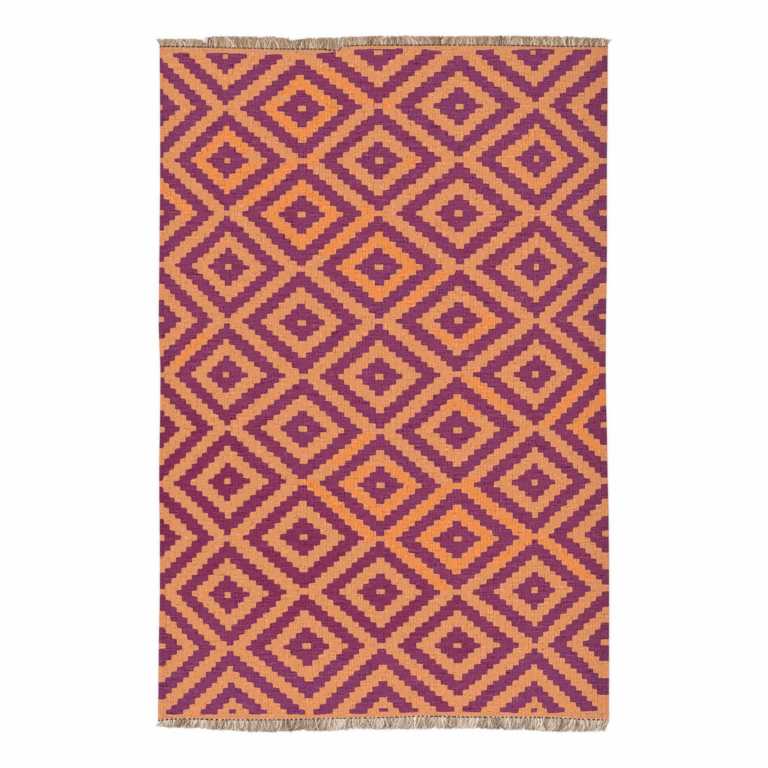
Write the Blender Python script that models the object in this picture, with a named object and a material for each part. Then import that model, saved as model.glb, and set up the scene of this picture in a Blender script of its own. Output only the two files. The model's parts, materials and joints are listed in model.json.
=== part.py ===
"""A flat-woven wool kilim rug, 1.2 m by 1.8 m, lying flat on a floor.

X runs across the rug, Y along its length and Z up from the floor. The rug is one woven cloth, a
twined line that locks the weft at each end, and a short fringe of cut warp ends beyond each line.
The origin is under the middle of the whole rug, at floor level. "Far" is the +Y end.
"""
from collections import namedtuple
import random

import bmesh
import bpy
import numpy as np

MM = 0.001

# The cloth
FIELD_WIDTH = 1200.0 * MM       # from selvedge to selvedge, before its waver
LINE_SPACING = 1800.0 * MM      # from one twined line to the other, before their waver
CLOTH_THICK = 3.0 * MM          # weft packed over the warps
PIECE_GAP = 0.3 * MM            # between touching pieces

# The twined line at each end
TWINE_WIDE = 2.6 * MM
TWINE_THICK = 3.2 * MM

# The fringe
LOCKS = 150                     # locks of cut warp ends along each end
LOCK_SHARE = 0.86               # of a lock's pitch that its root takes
ROOT_WIDE = 3.0 * MM            # strip that the locks grow from
ROOT_THICK = 2.4 * MM
BEND_AT = 0.55                  # of a lock's length, where it bends
BEND_TAPER = 0.95               # width there, against the root
BEND_THICK = 2.0 * MM
TIP_TAPER = 0.72                # width at the tip, against the space left by the next tips
TIP_THICK = 1.2 * MM
TIP_WIDEST = 6.0 * MM
LENGTH_SPREAD = 1.4 * MM        # unevenness of the cut
LEAN_SPREAD = 0.6 * MM
TIP_SLANT = 1.0 * MM            # how far a cut runs off square

# Grid that the cloth's outline is read at
STATION_PITCH = 40.0 * MM
EXTRA_STATIONS_MM = (22, 452, 461, 470, 488, 496)   # where the end lines turn sharply
FIELD_ROWS = 36

# How far each edge lies outside its straight line, at places along it
EdgeRow = namedtuple("EdgeRow", "place_mm out_mm")

FAR_LINE = (
    EdgeRow(0, 0.0), EdgeRow(80, -0.5), EdgeRow(160, -2.7), EdgeRow(240, -4.6),
    EdgeRow(350, -6.7), EdgeRow(440, -7.4), EdgeRow(461, -10.5), EdgeRow(479, -11.0),
    EdgeRow(488, -0.5), EdgeRow(515, 1.9), EdgeRow(590, 3.5), EdgeRow(805, 4.0),
    EdgeRow(940, 3.0), EdgeRow(1047, 0.8), EdgeRow(1200, 0.0),
)
NEAR_LINE = (
    EdgeRow(0, 5.5), EdgeRow(22, 3.0), EdgeRow(80, 0.8), EdgeRow(160, 3.5),
    EdgeRow(270, 3.8), EdgeRow(400, 1.6), EdgeRow(455, -0.2), EdgeRow(590, -2.2),
    EdgeRow(725, -5.9), EdgeRow(805, -3.8), EdgeRow(940, -3.0), EdgeRow(1075, -0.8),
    EdgeRow(1155, 3.2), EdgeRow(1200, 4.0),
)
# Selvedges, measured from the far end
LEFT_SELVEDGE = (
    EdgeRow(0, 0.0), EdgeRow(300, -1.3), EdgeRow(450, -0.2), EdgeRow(620, 1.3),
    EdgeRow(770, 2.6), EdgeRow(815, -0.6), EdgeRow(890, -1.9), EdgeRow(1040, -0.1),
    EdgeRow(1155, 1.3), EdgeRow(1275, 0.0), EdgeRow(1450, -0.6), EdgeRow(1570, 1.9),
    EdgeRow(1800, 4.0),
)
RIGHT_SELVEDGE = (
    EdgeRow(0, 0.5), EdgeRow(210, -0.4), EdgeRow(330, -1.6), EdgeRow(505, -1.4),
    EdgeRow(685, -3.3), EdgeRow(830, -4.7), EdgeRow(920, -4.0), EdgeRow(1035, -1.4),
    EdgeRow(1155, 0.5), EdgeRow(1275, 3.2), EdgeRow(1510, 4.3), EdgeRow(1800, 3.8),
)

# How the fringe lies: how far its tips reach beyond the straight end line, and how far they lean
# towards +X. Two rows close together part the locks and leave a gap.
FringeRow = namedtuple("FringeRow", "place_mm reach_mm lean_mm")

FAR_FRINGE = (
    FringeRow(0, 20, -8), FringeRow(30, 20, -4), FringeRow(92, 20, 3), FringeRow(108, 17, 5),
    FringeRow(116, 11, 4), FringeRow(124, 9, 1), FringeRow(132, 25, -1), FringeRow(160, 27, -2),
    FringeRow(240, 26, -4), FringeRow(310, 26, -2), FringeRow(348, 20, -4), FringeRow(356, 19, 3),
    FringeRow(410, 23, 2), FringeRow(460, 24, 1), FringeRow(484, 25, 3), FringeRow(590, 28, 2),
    FringeRow(738, 28, -3), FringeRow(746, 28, 2), FringeRow(940, 28, 0), FringeRow(1050, 27, 1),
    FringeRow(1130, 25, 4), FringeRow(1175, 23, 6), FringeRow(1200, 18, 9),
)
NEAR_FRINGE = (
    FringeRow(0, 20, -6), FringeRow(60, 24, -3), FringeRow(95, 25, 0), FringeRow(160, 29, -5),
    FringeRow(200, 32, -6), FringeRow(208, 33, 1), FringeRow(290, 36, -2), FringeRow(330, 35, -6),
    FringeRow(390, 32, -4), FringeRow(455, 33, -1), FringeRow(500, 30, -3), FringeRow(524, 26, -6),
    FringeRow(532, 25, 3), FringeRow(590, 29, -4), FringeRow(740, 26, -7), FringeRow(748, 26, 1),
    FringeRow(840, 26, -4), FringeRow(848, 26, 1), FringeRow(885, 27, -3), FringeRow(990, 31, 3),
    FringeRow(1036, 33, -3), FringeRow(1085, 36, -2), FringeRow(1160, 33, -2), FringeRow(1200, 32, -7),
)

# Finishes: sRGB colour and roughness
Finish = namedtuple("Finish", "red green blue roughness")
DYED_WOOL = Finish(224, 145, 98, 0.9)
TWINE_YARN = Finish(96, 74, 58, 0.9)
UNDYED_WARP = Finish(182, 156, 134, 0.95)


def smooth_edge(rows, place):
    """How far out an edge lies at a place, in metres.

    The curve through the table's rows is smooth and never passes beyond two neighbouring rows.
    """
    places = np.array([row.place_mm for row in rows]) * MM
    outs = np.array([row.out_mm for row in rows]) * MM
    secants = np.diff(outs) / np.diff(places)
    slopes = np.array([secants[0], *[0.0] * (len(rows) - 2), secants[-1]])
    for index, (before, after) in enumerate(zip(secants, secants[1:]), start=1):
        if before * after > 0:
            slopes[index] = 2 * before * after / (before + after)
    place = min(max(place, places[0]), places[-1])
    start = int(np.clip(np.searchsorted(places, place) - 1, 0, len(places) - 2))
    span = places[start + 1] - places[start]
    t = (place - places[start]) / span
    ease = t * t * (3 - 2 * t)
    from_start = outs[start] + slopes[start] * span * t
    from_end = outs[start + 1] - slopes[start + 1] * span * (1 - t)
    return float(from_start + (from_end - from_start) * ease)


def fringe_places():
    """Places across the rug, from its left selvedge: its ends, and the two sides of each lock."""
    pitch = FIELD_WIDTH / LOCKS
    side = pitch * (1 - LOCK_SHARE) / 2
    places = [0.0]
    for lock in range(LOCKS):
        places += [lock * pitch + side, (lock + 1) * pitch - side]
    return np.array(places + [FIELD_WIDTH])


def cross_stations():
    """Places that every end edge turns at. Each is at a lock's side, so the edges stay parallel."""
    even = np.linspace(0, FIELD_WIDTH, round(FIELD_WIDTH / STATION_PITCH) + 1)
    extra = np.array(EXTRA_STATIONS_MM) * MM
    sides = fringe_places()
    nearest = [sides[np.argmin(abs(sides - place))] for place in (*even, *extra)]
    return np.unique(nearest)


STATIONS = cross_stations()
END_TABLES = {"far": FAR_LINE, "near": NEAR_LINE}
OUTWARD = {"far": 1, "near": -1}
LINE_HEIGHTS = {
    end: [OUTWARD[end] * (LINE_SPACING / 2 + smooth_edge(rows, place)) for place in STATIONS]
    for end, rows in END_TABLES.items()
}


def line_y(end, place):
    """Y of the middle of a twined line, at a place across the rug."""
    return float(np.interp(place, STATIONS, LINE_HEIGHTS[end]))


def across_x(place, share_along):
    """X of a place across the rug, where share_along is 0 at the far end and 1 at the near end."""
    along = share_along * LINE_SPACING
    left = -FIELD_WIDTH / 2 - smooth_edge(LEFT_SELVEDGE, along)
    right = FIELD_WIDTH / 2 + smooth_edge(RIGHT_SELVEDGE, along)
    return left + (right - left) * place / FIELD_WIDTH


def wool_material(name, finish):
    """A plain material with a finish's colour and roughness."""
    def linear(channel):
        value = channel / 255
        return value / 12.92 if value <= 0.04045 else ((value + 0.055) / 1.055) ** 2.4

    material = bpy.data.materials.new(name)
    material.use_nodes = True
    shader = material.node_tree.nodes["Principled BSDF"]
    colour = [linear(channel) for channel in (finish.red, finish.green, finish.blue)]
    shader.inputs["Base Color"].default_value = (*colour, 1)
    shader.inputs["Roughness"].default_value = finish.roughness
    shader.inputs["Metallic"].default_value = 0
    return material


def slab(places, rows, thickness, place_corner):
    """A bmesh slab on a grid: a column for each pair of places, with its underside at Z = 0.

    place_corner(place, share) gives X and Y, where share runs from 0 to 1 over the rows.
    """
    columns = len(places) - 1
    mesh = bmesh.new()
    bmesh.ops.create_grid(mesh, x_segments=columns, y_segments=rows, size=0.5)
    for vert in mesh.verts:
        place = places[round((vert.co.x + 0.5) * columns)]
        vert.co.x, vert.co.y = place_corner(place, vert.co.y + 0.5)
        vert.co.z = 0
    raised = bmesh.ops.extrude_face_region(mesh, geom=mesh.faces[:])
    for item in raised["geom"]:
        if isinstance(item, bmesh.types.BMVert):
            item.co.z = thickness
    bmesh.ops.recalc_face_normals(mesh, faces=mesh.faces[:])
    return mesh


def add_object(name, mesh, material, parent):
    """Put a bmesh into the scene as a named object."""
    data = bpy.data.meshes.new(name)
    mesh.to_mesh(data)
    mesh.free()
    data.materials.append(material)
    piece = bpy.data.objects.new(name, data)
    piece.parent = parent
    bpy.context.collection.objects.link(piece)
    return piece


def woven_field():
    """The cloth, between the two twined lines."""
    inset = TWINE_WIDE / 2 + PIECE_GAP

    def corner(place, share):
        far = line_y("far", place) - inset
        near = line_y("near", place) + inset
        return across_x(place, share), far + (near - far) * share

    return slab(STATIONS, FIELD_ROWS, CLOTH_THICK, corner)


def end_strip(end, places, start, wide, thickness):
    """A narrow strip that follows one end of the rug, from a distance outside its twined line."""
    def corner(place, share):
        x = across_x(place, 0 if end == "far" else 1)
        return x, line_y(end, place) + OUTWARD[end] * (start + wide * share)

    return slab(places, 1, thickness, corner)


def lock_tips(rows, seed):
    """For each lock: its root's place, its tip's place, its reach, its cut's slant and tip width."""
    chance = random.Random(seed)
    pitch = FIELD_WIDTH / LOCKS
    columns = [row.place_mm * MM for row in rows]
    reaches = [row.reach_mm * MM for row in rows]
    leans = [row.lean_mm * MM for row in rows]
    locks = []
    for lock in range(LOCKS):
        root = (lock + 0.5) * pitch
        reach = np.interp(root, columns, reaches) + chance.uniform(-1, 1) * LENGTH_SPREAD
        tip = root + np.interp(root, columns, leans) + chance.uniform(-1, 1) * LEAN_SPREAD
        slant = chance.uniform(-1, 1) * TIP_SLANT
        locks.append([root, float(tip), float(reach), slant])
    tips = [lock[1] for lock in locks]
    for index, lock in enumerate(locks):
        spaces = [abs(tips[other] - tips[index])
                  for other in (index - 1, index + 1) if 0 <= other < LOCKS]
        lock.append(min(TIP_TAPER * min(spaces), TIP_WIDEST))
    return locks


def set_lock_end(face, centre_x, y, wide, thickness, slant):
    """Place the end face of a lock, which keeps its lower edge on the floor."""
    middle_x = sum(vert.co.x for vert in face.verts) / 4
    middle_z = sum(vert.co.z for vert in face.verts) / 4
    for vert in face.verts:
        side = 1 if vert.co.x > middle_x else -1
        vert.co.z = thickness if vert.co.z > middle_z else 0
        vert.co.x = centre_x + side * wide / 2
        vert.co.y = y + side * slant


def fringe(end, rows, seed):
    """A root strip with its locks, each drawn out of the strip's outer side in two steps."""
    start = TWINE_WIDE / 2 + PIECE_GAP
    places = fringe_places()
    mesh = end_strip(end, places, start, ROOT_WIDE, ROOT_THICK)
    x_of = [across_x(place, 0 if end == "far" else 1) for place in places]
    x_left, x_right = x_of[0], x_of[-1]
    scale = (x_right - x_left) / FIELD_WIDTH

    outer = [face for face in mesh.faces if face.normal.y * OUTWARD[end] > 0.1]
    outer.sort(key=lambda face: face.calc_center_median().x)
    roots = outer[1::2]
    for face, lock in zip(roots, lock_tips(rows, seed)):
        root, tip, reach, slant, tip_wide = lock
        root_x = x_left + root * scale
        tip_x = x_left + tip * scale
        base_y = face.calc_center_median().y
        tip_y = OUTWARD[end] * (LINE_SPACING / 2 + reach)
        bend_x = root_x + (tip_x - root_x) * BEND_AT ** 2
        bend_y = base_y + (tip_y - base_y) * BEND_AT
        root_wide = FIELD_WIDTH / LOCKS * LOCK_SHARE
        steps = (
            (bend_x, bend_y, root_wide * BEND_TAPER, BEND_THICK, 0),
            (tip_x, tip_y, tip_wide, TIP_THICK, slant),
        )
        for step in steps:
            drawn = bmesh.ops.extrude_discrete_faces(mesh, faces=[face])
            face = drawn["faces"][0]
            set_lock_end(face, *step)
    bmesh.ops.recalc_face_normals(mesh, faces=mesh.faces[:])
    return mesh


def centre_on_floor(rug, pieces):
    """Move the rug so that the middle of its outline lies over the origin."""
    corners = np.array([vert.co[:] for piece in pieces for vert in piece.data.vertices])
    middle = (corners.min(axis=0) + corners.max(axis=0)) / 2
    rug.location = (-middle[0], -middle[1], 0)


def build_rug():
    """Make every piece of the rug, under one empty."""
    rug = bpy.data.objects.new("kilim_rug", None)
    bpy.context.collection.objects.link(rug)
    dyed = wool_material("dyed_wool_weft", DYED_WOOL)
    pieces = [add_object("woven_field", woven_field(), dyed, rug)]
    for seed, (end, rows) in enumerate((("far", FAR_FRINGE), ("near", NEAR_FRINGE))):
        twined = end_strip(end, STATIONS, -TWINE_WIDE / 2, TWINE_WIDE, TWINE_THICK)
        yarn = wool_material(f"twine_yarn_{end}", TWINE_YARN)
        pieces.append(add_object(f"twined_edge_{end}", twined, yarn, rug))
        warp = wool_material(f"undyed_warp_{end}", UNDYED_WARP)
        pieces.append(add_object(f"fringe_{end}", fringe(end, rows, seed), warp, rug))
    centre_on_floor(rug, pieces)


for old in list(bpy.data.objects):
    bpy.data.objects.remove(old, do_unlink=True)
build_rug()
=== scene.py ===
"""Looks of a flat-woven wool kilim rug, 1.2 m by 1.8 m, lying flat on a plain floor.

The cloth is woven on a chart of stepped diamonds: 73 columns of a few warps each, by 123 rows of
packed weft. The chart is worked out by rule, and each row is then laid with the unevenness of a
hand loom. Along both ends runs a line of two-strand twining, and beyond it the cut warp ends.
X runs across the rug, Y along it and Z up. "Far" is the +Y end. Places across the cloth are in
millimetres from its left selvedge, and places along it from its straight far end line.
"""

from collections import namedtuple
from functools import partial
import json
import math

import bpy
from bpy.props import FloatProperty, FloatVectorProperty, IntProperty, PointerProperty
import numpy as np
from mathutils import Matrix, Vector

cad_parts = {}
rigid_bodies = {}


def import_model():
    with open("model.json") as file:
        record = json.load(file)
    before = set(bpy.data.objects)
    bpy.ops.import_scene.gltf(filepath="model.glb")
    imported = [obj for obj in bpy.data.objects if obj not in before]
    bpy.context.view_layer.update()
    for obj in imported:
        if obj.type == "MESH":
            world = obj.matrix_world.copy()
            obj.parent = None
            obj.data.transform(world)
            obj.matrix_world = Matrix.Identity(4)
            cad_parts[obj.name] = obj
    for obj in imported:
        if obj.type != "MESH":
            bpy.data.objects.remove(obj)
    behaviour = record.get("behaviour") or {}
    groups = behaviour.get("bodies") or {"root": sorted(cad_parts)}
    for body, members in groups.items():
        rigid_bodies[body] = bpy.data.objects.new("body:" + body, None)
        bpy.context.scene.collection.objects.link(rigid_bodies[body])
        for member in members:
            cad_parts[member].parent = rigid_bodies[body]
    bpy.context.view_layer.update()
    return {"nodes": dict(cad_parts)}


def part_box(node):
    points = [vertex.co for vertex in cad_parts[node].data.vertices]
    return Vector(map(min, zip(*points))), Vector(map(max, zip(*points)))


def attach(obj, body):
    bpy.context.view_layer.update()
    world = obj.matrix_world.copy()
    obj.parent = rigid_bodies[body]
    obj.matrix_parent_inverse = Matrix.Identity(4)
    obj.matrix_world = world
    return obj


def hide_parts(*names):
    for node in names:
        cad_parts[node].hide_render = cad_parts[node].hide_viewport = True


bl_info = {
    "name": "Kilim Rug",
    "version": (1, 0, 0),
    "blender": (4, 5, 0),
    "location": "View3D > Sidebar > Kilim",
    "description": "Weaves, edges and fringes a flat-woven wool rug on its packed frame",
    "category": "Object",
}

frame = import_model()
MM = 0.001

# The cloth's flat size, in metres: between its selvedges and its twined lines
CLOTH_FLAT = (1.2, 1.8)
TWINE_MIDDLE_MM = 1.6           # from the cloth's end edge to the middle of the twined line
END_ZONE_MM, SIDE_ZONE_MM = 25, 15      # in which the frame's points belong to that edge

# The chart
COLUMNS, ROWS = 73, 123
LAST_COLUMN, LAST_ROW = COLUMNS - 1, ROWS - 1
ROW_MM = 14.42                  # height of one chart row of packed weft
FIRST_ROW_MM = 11.55            # plain band before the first chart row
PLAIN_WARPS = 4                 # warps in a chart column
END_STRIPS = 2                  # mesh strips before the first chart row and after the last
HEART_LATE_MM = 3.8             # of its end row, in which a half diamond's heart isn't woven yet
DIAMOND_STEPS = 9               # steps from a diamond's centre to its rim

# How unevenly the rug was woven, beside its drift
ALONE_MM, ALIKE_MM = 0.6, 0.75  # beat of one column alone, and of five neighbours together
SWAY_MM = 1.2                   # of the columns' edges to the side

# Columns that the diamonds are centred on. They are wider or narrower than the rest.
AxisColumn = namedtuple("AxisColumn", "column left_mm right_mm warps")
AXES = [AxisColumn(*axis) for axis in (
    (0, 0, 10, 3), (12, 174, 190, 4), (24, 370, 393, 5), (36, 576, 599, 5), (48, 787, 810, 5),
    (60, 995, 1011, 4), (72, 1181, 1200, 5),
)]

# How far the weaving has drifted at each axis column, one line for each DRIFT_ROWS chart rows
DRIFT_ROWS = 20
DRIFT_ACROSS_MM = (             # towards +X
    (-2.5, -5.4, -6.2, -2.7, 1.9, -0.9, 5.5), (1.4, -2.8, 0.9, -1.2, 2.7, 7.9, -3.7),
    (1.3, 2, -3.1, -0.5, 5.4, 7, -2.2), (3.3, -3.2, 1.3, 0.2, -1.9, 5.8, -3.6),
    (0, 0.9, 3.1, 3.5, -1, 1.9, 2.3), (4.8, 0.6, 5.9, 3.1, -2.4, 2.3, 4.9),
    (6.4, 13.2, 20.1, 11.9, 2.1, -0.7, -8.2),
)
DRIFT_ALONG_MM = (              # towards the near end
    (3.1, 6.7, 8.9, -5.4, -2.6, -4.6, -2.9), (-2.9, -2.3, -0.9, -2.2, -4.4, -6.5, -0.5),
    (-10.9, -5.1, -0.2, -5.9, -4.8, -4.7, -10.9), (-4.7, -5.2, -1.2, 1, -5.5, -6.2, -17.7),
    (-0.6, -7.2, -4.7, 3.7, 4.2, -4.5, -9.9), (0.1, 8.4, 0.1, 1.3, 1.5, -2.7, -11),
    (6.2, 4.2, 4.3, 1.3, -3.4, 1.2, -5.1),
)

# Where the bright dye lot of orange was woven in: sides of a diamond's ring, or of the lattice
# line around it, over a run of chart rows
BrightLot = namedtuple("BrightLot", "column row sides first_row last_row strength")
BRIGHT_RINGS = [BrightLot(*lot) for lot in (
    (24, 10, "NE SW SE", 4, 16, 1), (24, 10, "NW", 4, 7, 1), (24, 10, "NW", 9, 10, 1),
    (12, 20, "NE", 14, 18, 1), (12, 20, "NW SW SE", 14, 26, 1), (36, 20, "NE SE", 20, 21, 0.8),
    (60, 20, "NW NE SW SE", 14, 26, 0.3), (24, 30, "NW NE SW SE", 24, 36, 1),
    (0, 30, "NE", 24, 30, 0.9), (36, 40, "NW NE SW SE", 34, 46, 1),
    (48, 50, "NE SE", 49, 54, 0.8), (48, 50, "SW", 52, 54, 0.8), (48, 70, "NE", 64, 67, 0.8),
    (48, 70, "NW", 64, 66, 0.8), (72, 70, "NW SW", 64, 76, 0.85), (72, 70, "NE", 64, 66, 0.85),
    (36, 80, "NW NE SW SE", 77, 86, 1), (48, 90, "NW NE SW SE", 84, 96, 1),
)]
BRIGHT_LATTICE = [BrightLot(*lot) for lot in (
    (24, 10, "NE", 3, 9, 0.9), (24, 10, "SE", 19, 20, 0.9), (24, 10, "SW", 20, 20, 0.9),
    (48, 10, "NW", 9, 10, 0.8), (24, 30, "NW", 21, 28, 1), (24, 30, "NE", 29, 30, 0.9),
    (24, 30, "SE", 31, 37, 1), (48, 50, "NW", 40, 47, 0.9), (0, 50, "SE", 53, 58, 0.9),
    (72, 50, "SW", 59, 60, 0.9), (48, 70, "NE", 60, 66, 0.8), (48, 70, "SE", 79, 80, 1),
    (48, 70, "SW", 80, 80, 0.6), (72, 70, "NW", 59, 69, 0.9), (24, 70, "SE", 71, 76, 1),
    (24, 70, "SE", 80, 80, 0.9), (24, 90, "NE", 80, 90, 1), (48, 90, "NW NE SW", 80, 99, 1),
    (48, 90, "SE", 90, 95, 0.9), (72, 90, "NW SW", 90, 98, 0.8),
)]

# Where the plum's dye lots differ: an oval of the chart, redder (+1) or bluer (-1)
PlumLot = namedtuple("PlumLot", "column row half_columns half_rows tone")
PLUM_LOTS = [PlumLot(*lot) for lot in (
    (4, 80, 16, 20, 1), (24, 95, 16, 16, 0.8), (38, 103, 12, 8, 0.7), (50, 112, 8, 5, 0.5),
    (72, 30, 9, 26, -0.9), (60, 0, 13, 8, -0.8), (48, 11, 9, 9, -0.8), (60, 20, 10, 9, -0.6),
    (0, 10, 10, 10, -0.8), (12, 6, 9, 6, -0.6), (10, 119, 30, 7, -0.9), (66, 118, 16, 10, -0.9),
    (38, 44, 8, 6, -0.6), (60, 44, 8, 7, -0.5),
)]

# The cloth's section
ROUND_MM = 0.45                 # how far a selvedge is rounded over
ROUND_HIGH, SIDE_HIGH = 0.78, 0.45      # heights on the selvedge, as shares of the thickness
PIT_HIGH = 0.3                  # bottom of a slit, as a share of the thickness
LIP_HIGH = 0.3                  # edges of a slit above the valley, as a share of the rib height

# The cloth's flat layout for baking, in shares of its square
TOP_U, UNDER_U = (0.004, 0.616), (0.63, 0.982)
RIGHT_SIDE_U, LEFT_SIDE_U, CLOSING_U = 0.623, 0.989, 0.996
CLOTH_V, CLOTH_V_MM = (0.985, 0.015), (-20, 1820)
END_V, END_TALL = (0.991, 0.004), 0.005

# The twined lines
TWINE_STEPS = 12                # points along each turn of a twined yarn
PRESSED = 0.6                   # height of a twined yarn, as a share of its width
SWING_MM = 0.25                 # of each yarn to both sides of the line
DIVE_TURN = 0.12                # part of a turn in which a yarn goes under the other
LEVEL_TURN = 0.05               # part of a turn that a yarn makes while it floats over

# The frame's fringe locks, told apart by the height of their upper corners
LOCK_ROOT_MM, LOCK_BEND_MM, LOCK_TIP_MM = 2.4, 2.0, 1.2
ROOT_STRIP_MM = 3.0
STRAY_MM = 1.5                  # how far a tip may stray past the frame's fringe

# A strand of fringe: its points as shares of its length, its height at its start, root, bend and
# tip where it lies lowest, and how much higher it may lie there
STRAND_POINTS = np.array([0, 0.14, 0.3, 0.46, 0.63, 0.81, 1])
LOW_MM, LIFT_MM = np.array([1.2, 1.2, 0.9, 0.5]), np.array([0, 0.9, 2.1, 1.8])

# How the two fringes differ: which way they lie, and how far the wool strays and varies in tone
FringeEnd = namedtuple("FringeEnd", "outward stray lock_spread yarn_spread")
FRINGE_ENDS = {"far": FringeEnd(1, 1, 0.06, 0.27), "near": FringeEnd(-1, 1.3, 0.1, 0.33)}

# A tube's cell of the flat layout, in shares of the cell: low corner and size of its quads, then
# the middle and radius of its first cap, and how far up the last one is
QUADS_U, QUADS_V = (0.06, 0.80), (0.08, 0.84)
CAP_U, CAP_V, CAP_APART = (0.93, 0.03), (0.28, 0.12), 0.44

# Photograph that the view repeats
PHOTO_PIXELS = 768
PIXEL_MM = 2.68                 # of floor that one pixel spans
LEFT_SELVEDGE_PIXEL = 159.15
FAR_LINE_PIXEL = 46.15


def linear(hex_colour):
    """Linear RGB of an sRGB hex colour."""
    channels = [int(hex_colour[start:start + 2], 16) / 255 for start in (1, 3, 5)]
    return tuple(
        c / 12.92 if c <= 0.04045 else ((c + 0.055) / 1.055) ** 2.4 for c in channels)


def colour(name, description, hex_colour):
    """A property for one colour, kept linear."""
    return FloatVectorProperty(
        name=name, description=description, subtype="COLOR", size=3, min=0, max=1,
        default=linear(hex_colour))


def length(name, description, millimetres, lowest=0):
    """A property for one length, kept in metres."""
    return FloatProperty(
        name=name, description=description, unit="LENGTH", precision=5, min=lowest,
        default=millimetres * MM)


def share(name, description, default):
    """A property for a share, from 0 to 1."""
    return FloatProperty(name=name, description=description, default=default, min=0, max=1)


def number(name, description, default):
    """A property for a small number of things."""
    return IntProperty(name=name, description=description, default=default, min=1, max=10)


class KilimWeave(bpy.types.PropertyGroup):
    """Sizes and dyes of the woven cloth."""

    rib_high: length("Rib height", "How far each warp rib stands above the valleys", 0.4)
    tooth: length("Interlock", "How far the weft steps from warp to warp at a colour's end", 0.65)
    soften_across: length("Soft corners across", "How far a corner is drawn in, along X", 0.4)
    soften_along: length("Soft corners along", "How far a corner is drawn in, along Y", 1.2)
    slit_wide: length("Slit width", "Opening between two colours that meet along a warp", 1.2)
    ripple: length("Ripple", "How far the cloth's face rises and falls over its whole size", 0.35)
    pale_orange: colour("Pale orange", "The orange that most of the rug is woven in", "#DB8F5E")
    bright_orange: colour("Bright orange", "A second, stronger dye lot of the orange", "#E78947")
    plum: colour("Plum", "The ground's plum", "#86315A")
    red_plum: colour("Red plum", "A redder dye lot of the plum", "#80214C")
    blue_plum: colour("Blue plum", "A bluer, faded dye lot of the plum", "#803462")
    run_pink: colour("Run pink", "Orange that the plum has run into", "#DF9272")
    run_rust: colour("Run rust", "Plum that the orange has run into", "#832F48")
    bare_warp: colour("Bare warp", "Undyed warp that shows through the end bands", "#A8927A")


class KilimTwine(bpy.types.PropertyGroup):
    """Sizes and colours of the twined line at each end."""

    yarn_radius: length("Yarn radius", "Half the width of the dark yarn, pressed flat", 1.8)
    twist: length("Twist", "Length of one whole turn of the two yarns", 12.0)
    thin: share("Thin yarn", "Thickness of the light yarn, as a share of the dark one's", 0.85)
    far_dark: share("Far dark share", "Share of each turn that the dark yarn floats over", 0.7)
    near_dark: share("Near dark share", "Share of each turn that the dark yarn floats over", 0.6)
    far_light: share("Far light tone", "Tone of the far light yarn, 0 dark to 1 pale", 0.68)
    near_light: share("Near light tone", "Tone of the near light yarn, 0 dark to 1 pale", 0.92)
    dark_yarn: colour("Dark yarn", "The dark yarn of the pair", "#22130A")
    tan_yarn: colour("Tan yarn", "The light yarn of the pair, where it is dirtiest", "#A67748")
    pale_yarn: colour("Pale yarn", "The light yarn of the pair, where it is cleanest", "#FADCC6")


class KilimFringe(bpy.types.PropertyGroup):
    """Sizes and colours of the cut warp ends."""

    yarns: number("Yarns in a lock", "Cut warp ends that each of the frame's locks stands for", 6)
    plies: number("Plies in a yarn", "Plies that each cut warp end opens into", 3)
    under_plies: number("Under plies", "Plies of the even layer under each lock's yarns", 7)
    ply_radius: length("Ply radius", "Half the thickness of a ply at its root", 0.5)
    lean: length("Lean", "How far the yarns' tips stray sideways", 9)
    near_lean: length("Near lean", "Mean lean at the near end, towards +X", -2.5, lowest=-1)
    open_tip: length("Open tip", "How far the plies of a yarn open out at their tips", 1.8)
    crimp: length("Crimp", "How far a strand waves, from its passes round the weft", 0.65)
    far_tone: share("Far tone", "Mean tone of the far end's wool, 0 dark to 1 pale", 0.45)
    near_tone: share("Near tone", "Mean tone of the near end's wool, 0 dark to 1 pale", 0.6)
    pale_warp: colour("Pale warp", "The lightest of the undyed wool", "#FFF4E8")
    far_warp: colour("Far warp", "The usual undyed wool at the far end, tanned", "#D9B693")
    near_warp: colour("Near warp", "The usual undyed wool at the near end, greyed", "#CFB196")
    dark_warp: colour("Dark warp", "The darkest, grey-brown wool", "#7A5F47")


class KilimStage(bpy.types.PropertyGroup):
    """Floor, light and camera."""

    floor: colour("Floor", "The plain floor under the rug", "#F4F4F4")
    sun: FloatProperty(name="Key light", description="Strength of the soft key", default=1.31)
    sky: FloatProperty(name="Fill light", description="Strength of the fill", default=0.82)
    camera_high: length("Camera height", "Height of the camera over the floor", 12000)


# ---- Reading the frame ----

def corners(node):
    """A frame node's points, in metres."""
    return np.array([vert.co[:] for vert in frame["nodes"][node].data.vertices])


class ClothOutline:
    """The cloth's edges, as the frame's node has them."""

    def __init__(self):
        points = corners("woven_field")
        (left, near, _), (right, far, self.thick) = points.min(axis=0), points.max(axis=0)
        x, y, z = points.T
        on_floor = z < 0.1 * self.thick
        self.edges = {}
        for edge, zone, along in (
                ("far", y > far - END_ZONE_MM * MM, 0), ("near", y < near + END_ZONE_MM * MM, 0),
                ("left", x < left + SIDE_ZONE_MM * MM, 1),
                ("right", x > right - SIDE_ZONE_MM * MM, 1)):
            line = points[on_floor & zone]
            line = line[np.argsort(line[:, along])]
            self.edges[edge] = line[:, along], line[:, 1 - along]
        # The far left corner lies on both straight lines that places are measured from.
        self.start_x = self.edges["far"][0][0]
        self.start_y = self.edges["far"][1][0] + TWINE_MIDDLE_MM * MM

    def at(self, edge, places):
        """Y of the far or near edge at X places, or X of the left or right one at Y places."""
        return np.interp(places, *self.edges[edge])


# ---- The chart ----

def steps_from(centres, columns, rows):
    """Steps from each chart cell to each centre, as an array of centres by cells."""
    return np.array([abs(columns - column) + abs(rows - row) for column, row in centres])


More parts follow.
